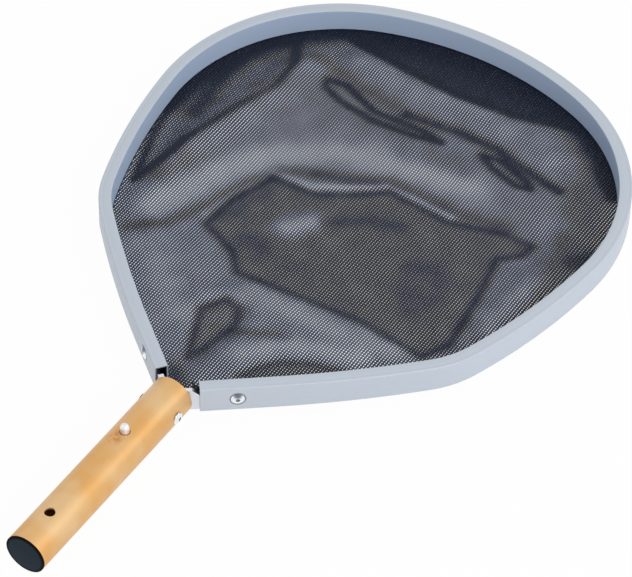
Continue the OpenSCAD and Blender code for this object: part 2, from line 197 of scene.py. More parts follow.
def buildWorld():
    world = bpy.data.worlds.new("studio")
    bpy.context.scene.world = world
    world.use_nodes = True
    tree = world.node_tree
    tree.nodes.clear()
    seen = seenDirectly(tree)
    white = addNode(tree, "ShaderNodeBackground", {"Color": linearColour(stage["white"]), "Strength": 1.0})
    soft = addNode(tree, "ShaderNodeBackground", {
        "Color": linearColour(stage["worldColour"]), "Strength": stage["worldStrength"]})
    mix = addNode(tree, "ShaderNodeMixShader", links={0: (seen, 0), 1: (soft, 0), 2: (white, 0)})
    addNode(tree, "ShaderNodeOutputWorld", links={"Surface": (mix, 0)})


def placeLamps():
    for name, values in lamps.items():
        lamp = bpy.data.lights.new(name, "AREA")
        lamp.size, lamp.energy = values["size"], values["power"]
        lamp.color = linearColour(values["colour"])[:3]
        holder = bpy.data.objects.new(name, lamp)
        holder.location = values["place"]
        aim = Vector(view["target"]) - Vector(values["place"])
        holder.rotation_euler = aim.to_track_quat("-Z", "Y").to_euler()
        bpy.context.scene.collection.objects.link(holder)


placeCamera()
buildFloor()
buildWorld()
placeLamps()
bpy.context.scene.view_settings.view_transform = "Standard"
print("camera and stage placed")


# The rim's outline: a straight arm, four bends, the crown, and back again, with a short bend
# across the neck between the arms. Lengths in mm. neckGap lies between the neck's bend and the
# cut end of an arm.
outline = {
    "neckY": 173.6, "neckRadius": 16.5, "neckGap": 9.4, "heading": 38.5, "armLength": 46,
    "bends": [(840, 7.2), (78, 24.1), (443, 14.5), (144, 75.4)],   # radius, turn in degrees
    "sag": 0.0184,             # how far the chords of a swept bend may leave the arc
}
fewestSteps = 4                # of any bend


def headingOf(angle):
    return Vector((math.cos(math.radians(angle)), math.sin(math.radians(angle)), 0))


def leftOf(angle):
    return headingOf(angle + 90)


def outlineRoute():
    # Start of the outer face at the right arm's end, and its bends as (centre, radius, turn)
    angle = outline["heading"]
    start = Vector((0, outline["neckY"], 0)) - outline["neckRadius"] * leftOf(angle) \
        + outline["neckGap"] * headingOf(angle)
    point = start + outline["armLength"] * headingOf(angle)
    half = []
    for radius, turn in outline["bends"]:
        centre = point + radius * leftOf(angle)
        half.append((centre, radius, turn))
        angle += turn
        point = centre - radius * leftOf(angle)
    crownRadius = point.x / math.sin(math.radians(angle))
    crownCentre = Vector((0, point.y + crownRadius * math.cos(math.radians(angle)), 0))
    crown = (crownCentre, crownRadius, 2 * (180 - angle))
    back = [(Vector((-c.x, c.y, 0)), r, t) for c, r, t in reversed(half)]
    return start, half + [crown] + back


armStart, bends = outlineRoute()


def alongOutline(inset, step):
    # Points right round the outline and across the neck, moved inwards by inset, and the way in at each
    points, inward = [], []

    def addRun(begin, angle, run):
        for i in range(int(run / step)):
            points.append(begin + headingOf(angle) * (i * step) + inset * leftOf(angle))
            inward.append(leftOf(angle))

    def addBend(centre, radius, angle, turn):
        count = max(fewestSteps, int(math.radians(turn) * radius / step))
        for i in range(count):
            here = angle + turn * i / count
            points.append(centre - (radius - inset) * leftOf(here))
            inward.append(leftOf(here))

    angle, run = outline["heading"], outline["armLength"] + outline["neckGap"]
    addRun(armStart - outline["neckGap"] * headingOf(angle), angle, run)
    for centre, radius, turn in bends:
        addBend(centre, radius, angle, turn)
        angle += turn
    addRun(Vector((-armStart.x, armStart.y, 0)) - outline["armLength"] * headingOf(angle), angle, run)
    neckTurn = 360 + outline["heading"] - angle
    addBend(Vector((0, outline["neckY"], 0)), outline["neckRadius"], angle, neckTurn)
    return points, inward


def sweepOutline(loops, lead=0):
    # Sweeps closed loops of (inwards, up) points along the whole outline, in mm, from lead before
    # one arm's end to lead past the other's. Each point keeps its distance inwards in "depth" and
    # the number of its loop in "hollow", for the materials.
    bm = bmesh.new()
    depth = bm.verts.layers.float.new("depth")
    hollow = bm.verts.layers.float.new("hollow")
    angle = outline["heading"]
    begin = armStart - lead * headingOf(angle)
    for number, loop in enumerate(loops):
        verts = [bm.verts.new(begin + u * leftOf(angle) + Vector((0, 0, v))) for u, v in loop]
        for vert, (u, v) in zip(verts, loop):
            vert[depth] = u
            vert[hollow] = number
        for i, vert in enumerate(verts):
            bm.edges.new((vert, verts[(i + 1) % len(verts)]))
    first = list(bm.edges)

    def pull(edges, distance, angle):
        made = bmesh.ops.extrude_edge_only(bm, edges=edges)["geom"]
        verts = [g for g in made if isinstance(g, bmesh.types.BMVert)]
        bmesh.ops.translate(bm, verts=verts, vec=headingOf(angle) * distance)
        return [g for g in made if isinstance(g, bmesh.types.BMEdge)
                and all(v in verts for v in g.verts)]

    edges = pull(first, outline["armLength"] + lead, angle)
    for centre, radius, turn in bends:
        stepTurn = math.sqrt(8 * outline["sag"] / radius)
        steps = max(fewestSteps, math.ceil(math.radians(turn) / stepTurn))
        made = bmesh.ops.spin(bm, geom=edges, cent=centre, axis=(0, 0, 1),
                              angle=math.radians(turn), steps=steps, use_duplicate=False)
        edges = [g for g in made["geom_last"] if isinstance(g, bmesh.types.BMEdge)]
        angle += turn
    edges = pull(edges, outline["armLength"] + lead, angle)
    return bm, first, edges


def roundedCorner(u, v, radius, fromAngle, steps=4):
    # Quarter circle about (u, v), anticlockwise from an angle in degrees
    angles = [math.radians(fromAngle + 90 * i / steps) for i in range(steps + 1)]
    return [(u + radius * math.cos(a), v + radius * math.sin(a)) for a in angles]


rimShape = {   # in mm
    "width": 8.9, "height": 20.2, "wall": 1.2, "corner": 0.75,
    "grooveFrom": 5.3, "grooveTo": 7.7, "grooveLow": -8.9, "grooveHigh": -6.5,
    "mouthLow": -8.5, "mouthHigh": -6.9, "grooveWall": 0.9,
    "lineIn": 2.3, "lineWidth": 0.5, "lineDepth": 0.14,   # shallow line on the top face
}
weld = {"fine": 0.001, "coarse": 0.02}   # mm, distance within which doubled points are merged


def buildRim():
    r = rimShape
    c, w, h = r["corner"], r["width"], r["height"] / 2
    contour = roundedCorner(c, -h + c, c, 180)
    contour += roundedCorner(w - c, -h + c, c, 270)
    contour += [(w, r["mouthLow"]), (r["grooveTo"], r["mouthLow"]), (r["grooveTo"], r["grooveLow"]),
                (r["grooveFrom"], r["grooveLow"]), (r["grooveFrom"], r["grooveHigh"]),
                (r["grooveTo"], r["grooveHigh"]), (r["grooveTo"], r["mouthHigh"]), (w, r["mouthHigh"])]
    contour += roundedCorner(w - c, h - c, c, 0)
    middle = r["lineIn"]
    contour += [(middle + r["lineWidth"], h), (middle, h - r["lineDepth"]), (middle - r["lineWidth"], h)]
    contour += roundedCorner(c, h - c, c, 90)
    low, inner = r["grooveLow"], r["grooveFrom"] - r["grooveWall"]
    high = r["grooveHigh"] + r["grooveWall"]
    hollow = [(r["wall"], low), (inner, low), (inner, high), (w - r["wall"], high),
              (w - r["wall"], h - r["wall"]), (r["wall"], h - r["wall"])]
    bm, first, last = sweepOutline([contour, hollow])
    for ring in (first, last):
        bmesh.ops.triangle_fill(bm, use_beauty=True, use_dissolve=False, edges=ring)
    bmesh.ops.remove_doubles(bm, verts=bm.verts, dist=weld["fine"])
    bmesh.ops.recalc_face_normals(bm, faces=bm.faces)
    bmesh.ops.scale(bm, vec=(mm, mm, mm), verts=bm.verts)
    return meshFrom(bm, "rim", sharpAngle=25)


# The inner wall's colour, the hollow's and the line round the arm's rivet are painted shade
rimFinish = {
    "skin": "#ced6df", "innerWallShade": "#c3d5ee", "hollow": "#1a1d22", "rivetShadow": "#4b525c",
    "grain": 1.1111 * mm, "cloud": 38.462 * mm,
    "fade": 0.3,               # in mm, from the skin's colour to the inner wall's
}
armRivet = {   # middle of the head on the right arm, the painted dark reflection on its dome, and the painted shadow round it
    "place": (36.8 * mm, 181.8 * mm, 0), "darkReflectionPlace": (37.3 * mm, 181.1 * mm, 4.6 * mm),
    "darkReflectionFrom": 4.2 * mm, "darkReflectionTo": 2.0 * mm, "rivetShadowTo": 5.8 * mm, "rivetShadowFrom": 4.7 * mm,
    "paintedDark": "#747b87",
}


def anodisedRimMaterial():
    # Clear anodised aluminium with a blue-grey cast: soft, wide reflections and a faint grain,
    # painted shade making the inner wall darker and bluer, painted shade in the hollow, and a thin painted
    # shadow line round the arm's rivet
    material, tree, shader = newMaterial("anodisedAluminium", {
        "Metallic": 0.1, "Specular IOR Level": 0.2})
    place = addNode(tree, "ShaderNodeTexCoord")
    grain = addNode(tree, "ShaderNodeTexNoise", {"Scale": 1 / rimFinish["grain"], "Detail": 4},
                    {"Vector": (place, "Object")})
    cloud = addNode(tree, "ShaderNodeTexNoise", {"Scale": 1 / rimFinish["cloud"], "Detail": 2},
                    {"Vector": (place, "Object")})
    rough = addNode(tree, "ShaderNodeMapRange", {"To Min": 0.37, "To Max": 0.47},
                    {"Value": (cloud, "Fac")})
    tree.links.new(rough.outputs[0], shader.inputs["Roughness"])
    bump = addNode(tree, "ShaderNodeBump", {"Strength": 0.08, "Distance": 0.2 * mm},
                   {"Height": (grain, "Fac")})
    tree.links.new(bump.outputs[0], shader.inputs["Normal"])
    # painted shade: the inner wall is darker and bluer than the outer skin
    depth = addNode(tree, "ShaderNodeAttribute", {"attribute_name": "depth"})
    inner = addNode(tree, "ShaderNodeMapRange",
                    {"From Min": rimShape["width"] - rimFinish["fade"], "From Max": rimShape["width"]},
                    {"Value": (depth, "Fac")})
    tint = addNode(tree, "ShaderNodeValToRGB", links={"Fac": (inner, 0)})
    stops = tint.color_ramp.elements
    stops[0].color, stops[1].color = linearColour(rimFinish["skin"]), linearColour(rimFinish["innerWallShade"])
    # painted shade: the hollow inside the extrusion is coloured nearly black
    hollow = addNode(tree, "ShaderNodeAttribute", {"attribute_name": "hollow"})
    paintedDark = addNode(tree, "ShaderNodeMix", {"data_type": "RGBA", 7: linearColour(rimFinish["hollow"])},
                   {0: (hollow, "Fac"), 6: (tint, 0)})
    # painted shadow: a thin dark line on the rim round the arm's rivet head
    rivetShadow = markAt(tree, sameBothSides(tree, place), 0, armRivet["place"], armRivet["rivetShadowTo"],
                   armRivet["rivetShadowFrom"])
    marked = addNode(tree, "ShaderNodeMix", {"data_type": "RGBA", 7: linearColour(rimFinish["rivetShadow"])},
                     {0: (rivetShadow, 0), 6: (paintedDark, 2)})
    tree.links.new(marked.outputs[2], shader.inputs["Base Color"])
    return material


newPiece("rim_extrusion", buildRim(), anodisedRimMaterial(), "skimmer", ["rim"])
print("rim built")


# Edge cord, in its groove and bare across the neck. Lengths in mm.
cordShape = {"inset": 6.5, "height": -7.7, "radius": 1.1, "sides": 12, "neckSteps": 14}


def buildCord():
    c = cordShape
    turns = [2 * math.pi * i / c["sides"] for i in range(c["sides"])]
    circle = [(c["inset"] + c["radius"] * math.cos(t), c["height"] + c["radius"] * math.sin(t))
              for t in turns]
    bm, first, last = sweepOutline([circle], lead=outline["neckGap"])
    bmesh.ops.spin(bm, geom=last, cent=(0, outline["neckY"], 0), axis=(0, 0, 1),
                   angle=math.radians(2 * outline["heading"]), steps=c["neckSteps"],
                   use_duplicate=False)
    bmesh.ops.remove_doubles(bm, verts=bm.verts, dist=weld["coarse"])
    bmesh.ops.recalc_face_normals(bm, faces=bm.faces)
    bmesh.ops.scale(bm, vec=(mm, mm, mm), verts=bm.verts)
    return meshFrom(bm, "cord", sharpAngle=60)


# The cord's ends are tied behind the right arm: up out of the groove, a small loop, a short tail
cordTie = {"radius": 0.8, "route": [
    (11.9, 170.3, -7.7), (11.9, 170.3, -2.0), (12.0, 170.4, 1.5), (12.6, 170.9, 3.6), (11.8, 172.2, 4.9),
    (10.0, 173.0, 4.6), (8.6, 172.2, 4.2), (9.2, 170.9, 4.4), (10.8, 170.6, 3.6), (12.2, 171.6, 2.9),
    (12.4, 172.9, 3.4), (11.0, 173.6, 4.2), (9.4, 173.4, 3.2), (7.4, 173.8, 3.0), (6.0, 174.6, 3.4)]}


def buildTie():
    curve = bpy.data.curves.new("tie", "CURVE")
    curve.dimensions = "3D"
    curve.bevel_depth, curve.bevel_resolution = cordTie["radius"] * mm, 3
    curve.use_fill_caps = True
    spline = curve.splines.new("NURBS")
    spline.points.add(len(cordTie["route"]) - 1)
    for knot, place in zip(spline.points, cordTie["route"]):
        knot.co = (*(Vector(place) * mm), 1)
    spline.use_endpoint_u, spline.order_u, spline.resolution_u = True, 4, 6
    holder = bpy.data.objects.new("tie", curve)
    mesh = bpy.data.meshes.new_from_object(holder)
    bpy.data.objects.remove(holder)
    mesh.shade_smooth()
    return mesh


cordFinish = {"colour": "#15161a", "strand": 0.52632 * mm, "height": 0.15 * mm}


def cordMaterialOf():
    # Braided polyester cord: dull black, its strands a little raised
    material, tree, shader = newMaterial("braidedCord", {
        "Base Color": cordFinish["colour"], "Roughness": 0.7})
    place = addNode(tree, "ShaderNodeTexCoord")
    strands = addNode(tree, "ShaderNodeTexVoronoi", {"Scale": 1 / cordFinish["strand"]},
                      {"Vector": (place, "Object")})
    bump = addNode(tree, "ShaderNodeBump", {"Strength": 0.6, "Distance": cordFinish["height"],
                                            "invert": True}, {"Height": (strands, "Distance")})
    tree.links.new(bump.outputs[0], shader.inputs["Normal"])
    return material


cordMaterial = cordMaterialOf()
newPiece("edge_cord_braid", buildCord(), cordMaterial, "skimmer", ["edge_cord"])
newPiece("edge_cord_tie", buildTie(), cordMaterial, "skimmer", ["edge_cord"])
print("cord built")


# Net: threads of a plain weave, one piece for each way. Lengths in mm. The real threads along X
# are 1.45 apart. They are drawn 2.0 apart, which is as coarse as they must be for the small gaps
# between them to show.
netShape = {
    "warpPitch": 2.01, "weftPitch": 2.0,          # threads along Y, threads along X
    "warpSize": (1.58, 0.8), "weftSize": (0.92, 0.55),   # breadth and thickness
    "wave": 0.16,                                 # how far a thread goes over and under
    "lift": 1.5, "liftRun": 34, "edgeRun": 3.0,   # rise from the cord, and where it starts and ends
    "middleY": 362, "width": 350, "length": 400,
    "hidden": 0.9,                                # the weave ends this far in from the cord's middle
    "draw": 0.32, "finest": 0.88, "fullest": 1.28,   # openness to thread breadth, and its limits
    # the line at a flat place's edge is painted shade
    "flatFade": 5, "flatLine": 3.2,               # breadth of a flat place's soft edge and of its line
}
# Folds of the slack net: line, breadth, rise, and how far the weave is drawn open (1) or closed (-1).
# The last also lightens or darkens the threads, so the pale and dark marks below are painted sheen and
# painted shade.
netFolds = [
    # three long swells
    ([(-138, 300), (-132, 350), (-124, 400), (-113, 450), (-108, 485)], 14, 2.5, 0),
    ([(-95, 460), (-40, 452), (10, 452), (60, 456), (100, 456)], 14, 1.3, -0.05),
    ([(-75, 506), (-25, 506), (30, 508), (85, 498)], 11, 2.0, 0.1),
    # the band round the middle, lightened as painted sheen, and the dark line of painted shade inside it
    ([(-113, 305), (-105, 330), (-92, 365), (-72, 393), (-40, 416), (0, 430), (60, 439)],
     12, -0.8, 0.5),
    ([(-118, 278), (-99, 294), (-84, 326), (-74, 360), (-62, 382), (-40, 393), (-15, 404), (8, 416),
      (60, 415), (98, 420)], 5.5, 0, -0.45),
    # a swell at the right darkened as painted shade, and the band beside it lightened as painted sheen
    ([(150, 305), (148, 350), (152, 400), (146, 450), (130, 480)], 15, 1.4, -0.45),
    ([(138, 332), (138, 359), (140, 385)], 9, 0, 0.4),
    # towards the neck
    ([(-12, 272), (50, 274), (95, 282)], 12, 0.9, 0.3),
    ([(14, 222), (36, 246), (80, 262)], 8, 0.3, 0.4),
    ([(-3, 236), (10, 242), (30, 250)], 4, 0, -0.25),
    ([(-92, 272), (-65, 250), (-42, 228)], 15, -0.5, 0.2),
    # the blister in the middle, lightened as painted sheen, and lines along the edge of the flat place
    # round it, pale or dark as painted sheen and shade
    ([(-27, 338), (-22, 345), (-17, 352)], 9.5, 0.8, 0.65),
    ([(-66, 379), (-35, 381), (-15, 394), (8, 411), (60, 409)], 3, 0.3, 0.45),
    ([(-82, 318), (-77, 345), (-67, 370)], 3, 0, 0.4),
    ([(-40, 392), (-20, 398), (0, 408)], 4, 0, -0.3),
    # dark lines of painted shade on the far side and at both sides, the first two in real creases
    ([(-20, 479), (20, 484), (50, 484), (75, 477), (108, 471)], 4.5, -1.2, -0.8),
    ([(-105, 493), (-60, 485), (-25, 480)], 6, -0.4, -0.35),
    ([(122, 507), (133, 496), (142, 487)], 4, 0, -1.3),
    ([(152, 416), (157, 423), (160, 430)], 6, 0, -0.7),
    ([(-152, 480), (-148, 440), (-144, 398)], 6, 0, -0.45),
    # soft patches of painted shade, with no rise
    ([(-125, 330), (-115, 358)], 8, 0, -0.25),
    ([(0, 440), (45, 448)], 8, 0, -0.2),
    ([(-16, 184), (-6, 174), (6, 170), (16, 178)], 7, 0, -0.6),
    ([(-35, 310), (-15, 306), (8, 312)], 9, 0, -0.1),
    ([(72, 338), (84, 322), (92, 334)], 9, 0, -0.2),
    ([(-58, 362), (-68, 322)], 6, 0, -0.2),
    ([(-8, 357), (15, 375), (38, 382)], 6, 0, -0.35),
    ([(-45, 315), (-30, 314)], 7, 0, -0.25),
    ([(62, 352), (78, 362), (85, 350)], 9, 0, -0.2),
]
# Places where it lies down flat: outline, run and rise of its rim, openness inside and at the edge. The
# darker inside and the dark line at the edge are painted shade.
netFlats = [
    ([(-76, 310), (-74, 340), (-63, 374), (-30, 376), (-8, 390), (12, 407), (60, 404), (100, 416),
      (121, 416), (120, 405), (107, 391), (114, 360), (118, 334), (122, 306), (112, 286), (60, 291),
      (0, 286), (-33, 283), (-46, 298)], 30, -2.0, -0.3, -0.6),
    ([(-33, 242), (-24, 258), (-12, 256), (-5, 242), (-10, 215), (-15, 200), (-22, 215)],
     12, -1.2, -0.2, -0.6),
    ([(-86, 478), (-70, 480), (-40, 468), (0, 470), (16, 467), (-5, 462), (-35, 459), (-65, 463),
      (-82, 470)], 6, -0.5, 0.0, -1.1),
    ([(46, 472), (60, 475), (85, 466), (92, 461), (82, 458), (60, 464)], 5, -0.5, 0.0, -1.0),
    # these two have no rise: bands of painted shade under the rim's left and far side
    ([(-112, 478), (-110, 450), (-120, 420), (-132, 370), (-135, 345), (-141, 318), (-158, 370),
      (-166, 420), (-150, 480), (-125, 500)], 8, 0, -0.08, -0.7),
    ([(-110, 530), (-85, 522), (-50, 517), (0, 513), (45, 518), (90, 534), (60, 552), (0, 560),
      (-60, 556)], 6, 0, -0.85, -1.1),
    ([(22, 204), (28, 217), (38, 230), (52, 238), (66, 243), (77, 246), (60, 226), (42, 212)],
     8, -0.6, -0.25, -0.4),
]
# Painted shade under the rim's far side: the weave there is drawn closed, its threads broader and darker
farRimShade = {"line": [(-170, 400), (-166, 430), (-155, 470), (-135, 505), (-100, 535), (-50, 553),
                     (0, 558), (60, 552), (100, 532), (135, 505)],
            "breadth": 13, "opennessAndShade": -1.3}
mottle = {"scale": 14, "opennessAndShade": 0.14}   # uneven tension of the weave, size in mm


def distanceTo(line, points):
    nearest = np.full(len(points), np.inf)
    for a, b in zip(line, line[1:]):
        a, b = np.array(a, float), np.array(b, float)
        share = np.clip((points - a) @ (b - a) / ((b - a) @ (b - a)), 0, 1)
        nearest = np.minimum(nearest, np.linalg.norm(points - a - share[:, None] * (b - a), axis=1))
    return nearest


def insideOf(line, points):
    x, y = points.T
    inside = np.zeros(len(points), bool)
    for (ax, ay), (bx, by) in zip(line, line[1:] + line[:1]):
        if ay != by:
            inside ^= ((ay > y) != (by > y)) & (x < ax + (y - ay) * (bx - ax) / (by - ay))
    return inside


def smoothShare(value):
    share = np.clip(value, 0, 1)
    return share * share * (3 - 2 * share)


def netSurface(points, room):
    # Heights of the slack net over points, in mm, and the openness of its weave there, which also sets the
    # painted sheen and shade of the thread colour. room is how far each point lies inside the cord.
    height = np.full(len(points), netShape["lift"])
    opennessAndShade = farRimShade["opennessAndShade"] * np.exp(
        -(distanceTo(farRimShade["line"], points) / farRimShade["breadth"]) ** 2)
    for line, breadth, rise, drawn in netFolds:
        share = np.exp(-(distanceTo(line, points) / breadth) ** 2)
        height += rise * share
        opennessAndShade += drawn * share
    for line, run, rise, inside, edge in netFlats:
        depth = distanceTo(line + line[:1], points)
        depth = np.where(insideOf(line, points), depth, -depth)
        height += rise * smoothShare(1 + depth / run)
        opennessAndShade += (inside * smoothShare(0.5 + depth / netShape["flatFade"])
                     + edge * np.exp(-(depth / netShape["flatLine"]) ** 2))
    opennessAndShade += [mottle["opennessAndShade"] * noise.noise((x / mottle["scale"], y / mottle["scale"], 0))
                 for x, y in points]
    build = smoothShare((room - netShape["edgeRun"]) / netShape["liftRun"])
    return cordShape["height"] + build * height, opennessAndShade


# corners of a thread's section, as shares of its breadth and thickness, closed on itself
threadSection = [(-0.5, -0.35), (0.0, 0.65), (0.5, -0.35), (-0.5, -0.35)]


def buildThreads(way, finder, inward):
    # way 0 makes the threads along Y, way 1 those along X. A grid has len(threadSection) columns
    # for each thread and a row for each crossing. The strips between threads and what lies
    # outside the cord are deleted.
    n = netShape
    alongY = way == 0
    pitch, other = (n["warpPitch"], n["weftPitch"]) if alongY else (n["weftPitch"], n["warpPitch"])
    size = n["warpSize"] if alongY else n["weftSize"]
    breadth, run = (n["width"], n["length"]) if alongY else (n["length"], n["width"])
    threads = int(breadth / pitch) // 2 * 2 + 1
    crossings = int(run / other) // 2 * 2 + 1
    corners = len(threadSection)
    columns = corners * threads
    bm = bmesh.new()
    column = bm.verts.layers.int.new("column")
    bmesh.ops.create_grid(bm, x_segments=columns - 1, y_segments=crossings - 1, size=0.5)
    axis, local = np.empty((len(bm.verts), 2)), np.empty((len(bm.verts), 2))
    room = np.empty(len(bm.verts))
    for i, vert in enumerate(bm.verts):
        k = round((vert.co.x + 0.5) * (columns - 1))
        j = round((vert.co.y + 0.5) * (crossings - 1))
        thread, corner = divmod(k, corners)
        a, b = (thread - threads // 2) * pitch, (j - crossings // 2) * other
        over = (thread - threads // 2 + j - crossings // 2 + way) % 2 == 0
        axis[i] = (a, n["middleY"] + b) if alongY else (b, n["middleY"] + a)
        flat = Vector((axis[i][0], axis[i][1], 0))
        near, index, distance = finder.find(flat)
        room[i] = (flat - near).dot(inward[index])
        u, v = threadSection[corner]
        local[i] = u * size[0], v * size[1] + (n["wave"] if over else -n["wave"])
        vert[column] = k
    heights, opennessAndShade = netSurface(axis, room)
    fullness = np.clip(1 - n["draw"] * opennessAndShade, n["finest"], n["fullest"])
    # the openness also carries the painted sheen and shade of the thread colour
    tone = bm.verts.layers.float.new("opennessAndShade")
    for i, vert in enumerate(bm.verts):
        x, y = axis[i]
        u, v = local[i][0] * fullness[i], local[i][1]
        vert[tone] = opennessAndShade[i]
        vert.co = (x + u, y, heights[i] + v) if alongY else (x, y - u, heights[i] + v)
    bm.verts.index_update()
    wasted = [f for f in bm.faces if min(v[column] for v in f.verts) % corners == corners - 1
              or sum(room[v.index] for v in f.verts) < len(f.verts) * n["hidden"]]
    bmesh.ops.delete(bm, geom=wasted, context="FACES")
    bmesh.ops.remove_doubles(bm, verts=bm.verts, dist=weld["fine"])
    bmesh.ops.holes_fill(bm, edges=[e for e in bm.edges if e.is_boundary], sides=3)   # thread ends
    bmesh.ops.recalc_face_normals(bm, faces=bm.faces)
    bmesh.ops.scale(bm, vec=(mm, mm, mm), verts=bm.verts)
    print("threads", way, "faces", len(bm.faces))
    return meshFrom(bm, "threads", sharpAngle=180)


netFinish = {   # painted shade and sheen, from a closed weave to an open one, those between at shares of the way
    "closed": -1.2, "open": 1.0, "first": "#0d172d", "last": "#8590a1",
    "between": ((0.3, "#1b263c"), (0.43, "#282b32"), (0.56, "#33425e")),
}


def netMaterialOf():
    # Woven mesh of coated polyester thread: black, with a painted blue-grey sheen where it is drawn open
    # and painted shade where it is drawn closed
    material, tree, shader = newMaterial("wovenMesh", {"Roughness": 0.45, "Specular IOR Level": 0.3})
    weave = addNode(tree, "ShaderNodeAttribute", {"attribute_name": "opennessAndShade"})
    share = addNode(tree, "ShaderNodeMapRange",
                    {"From Min": netFinish["closed"], "From Max": netFinish["open"]},
                    {"Value": (weave, "Fac")})
    tint = addNode(tree, "ShaderNodeValToRGB", links={"Fac": (share, 0)})
    stops = tint.color_ramp.elements
    stops[0].color, stops[1].color = linearColour(netFinish["first"]), linearColour(netFinish["last"])
    for position, colour in netFinish["between"]:
        stops.new(position).color = linearColour(colour)
    tree.links.new(tint.outputs[0], shader.inputs["Base Color"])
    return material


edgeLine, inwardAt = alongOutline(cordShape["inset"], step=1.0)
edgeFinder = KDTree(len(edgeLine))
for i, point in enumerate(edgeLine):
    edgeFinder.insert(point, i)
edgeFinder.balance()
netMaterial = netMaterialOf()
warp = newPiece("net_warp", buildThreads(0, edgeFinder, inwardAt), netMaterial, "skimmer",
                ["net"])
weft = newPiece("net_weft", buildThreads(1, edgeFinder, inwardAt), netMaterial, "skimmer",
                ["net"])
print("net built")


# Handle, yoke and fastenings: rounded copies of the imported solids
edgeRounding = {   # bevel in mm and number of steps for each node
    "handle_tube": (0.25, 3), "end_cap": (0.45, 3), "yoke": (0.5, 3), "arm_rivets": (0.12, 2),
    "neck_rivets": (0.12, 2), "arm_rivet_mandrels": (0.15, 2), "neck_rivet_mandrels": (0.15, 2),
    "upper_button": (0.2, 2), "lower_button": (0.2, 2), "clip_spring": (0.12, 2),
}
copying = {"merge": 0.002 * mm, "flat": 1, "edge": 32, "shading": 28}   # angles in degrees


def roundedCopy(node):
    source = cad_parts[node]
    bm = bmesh.new()
    bm.from_mesh(source.data)
    bmesh.ops.transform(bm, verts=bm.verts, matrix=source.matrix_world)
    bmesh.ops.remove_doubles(bm, verts=bm.verts, dist=copying["merge"])
    bmesh.ops.dissolve_limit(bm, angle_limit=math.radians(copying["flat"]), verts=bm.verts,
                             edges=bm.edges)
    bmesh.ops.recalc_face_normals(bm, faces=bm.faces)
    width, steps = edgeRounding[node]
    edge = math.radians(copying["edge"])
    sharp = [e for e in bm.edges if e.is_manifold and e.calc_face_angle(0) > edge]
    bmesh.ops.bevel(bm, geom=sharp, offset=width * mm, offset_type="WIDTH", segments=steps,
                    profile=0.5, affect="EDGES", material=-1, clamp_overlap=True)
    bmesh.ops.recalc_face_normals(bm, faces=bm.faces)
    return bm


goldFinish = {   # the grain is drawn out along the tube, the bands are slow changes of the dye
    "grainAcross": 0.41667 * mm, "grainAlong": 55.556 * mm, "grainHeight": 0.05 * mm,
    "bands": 29.412 * mm, "deep": "#e3ac64", "pale": "#e7bf89",
    "buttonPatchPlace": (-2 * mm, 101.5 * mm, 14 * mm), "buttonPatchReach": 8 * mm, "buttonPatchSpots": 3.8462 * mm,
    "buttonPatch": "#c2763a",
}


def goldMaterialOf():
    # Gold anodised tube: satin, with a fine drawn grain along it and a patchy, darker orange patch round
    # the button
    gold = goldFinish
    material, tree, shader = newMaterial("goldAnodised", {"Metallic": 0.5, "Specular IOR Level": 0.8})
    place = addNode(tree, "ShaderNodeTexCoord")
    across, along = 1 / gold["grainAcross"], 1 / gold["grainAlong"]
    drawn = addNode(tree, "ShaderNodeMapping", {"Scale": (across, along, across)},
                    {"Vector": (place, "Object")})
    grain = addNode(tree, "ShaderNodeTexNoise", {"Scale": 1.0, "Detail": 3}, {"Vector": (drawn, 0)})
    rough = addNode(tree, "ShaderNodeMapRange", {"To Min": 0.36, "To Max": 0.48},
                    {"Value": (grain, "Fac")})
    tree.links.new(rough.outputs[0], shader.inputs["Roughness"])
    bump = addNode(tree, "ShaderNodeBump", {"Strength": 0.12, "Distance": gold["grainHeight"]},
                   {"Height": (grain, "Fac")})
    tree.links.new(bump.outputs[0], shader.inputs["Normal"])
    # a patchy, darker orange patch within 8 mm of a point by the upper button
    near = markAt(tree, place, "Object", gold["buttonPatchPlace"], gold["buttonPatchReach"], 0.0)
    cloud = addNode(tree, "ShaderNodeTexNoise", {"Scale": 1 / gold["buttonPatchSpots"], "Detail": 3,
                                                 "Roughness": 0.6}, {"Vector": (place, "Object")})
    patchy = addNode(tree, "ShaderNodeMapRange", {"From Min": 0.40, "From Max": 0.60},
                     {"Value": (cloud, "Fac")})
    buttonPatch = addNode(tree, "ShaderNodeMath", {"operation": "MULTIPLY"},
                    {0: (near, 0), 1: (patchy, 0)})
    bands = addNode(tree, "ShaderNodeTexNoise", {"Scale": 1 / gold["bands"], "Detail": 2},
                    {"Vector": (place, "Object")})
    tone = addNode(tree, "ShaderNodeValToRGB", links={"Fac": (bands, "Fac")})
    stops = tone.color_ramp.elements
    stops[0].position, stops[1].position = 0.38, 0.64
    stops[0].color, stops[1].color = linearColour(gold["deep"]), linearColour(gold["pale"])
    buttonPatched = addNode(tree, "ShaderNodeMix", {"data_type": "RGBA", 7: linearColour(gold["buttonPatch"])},
                      {0: (buttonPatch, 0), 6: (tone, 0)})
    tree.links.new(buttonPatched.outputs[2], shader.inputs["Base Color"])
    return material


capFinish = {
    "face": "#27323b", "border": "#06070a", "faceTo": 11.9 * mm, "borderFrom": 13.2 * mm,
    "texture": 0.55556 * mm, "textureHeight": 0.08 * mm,
}


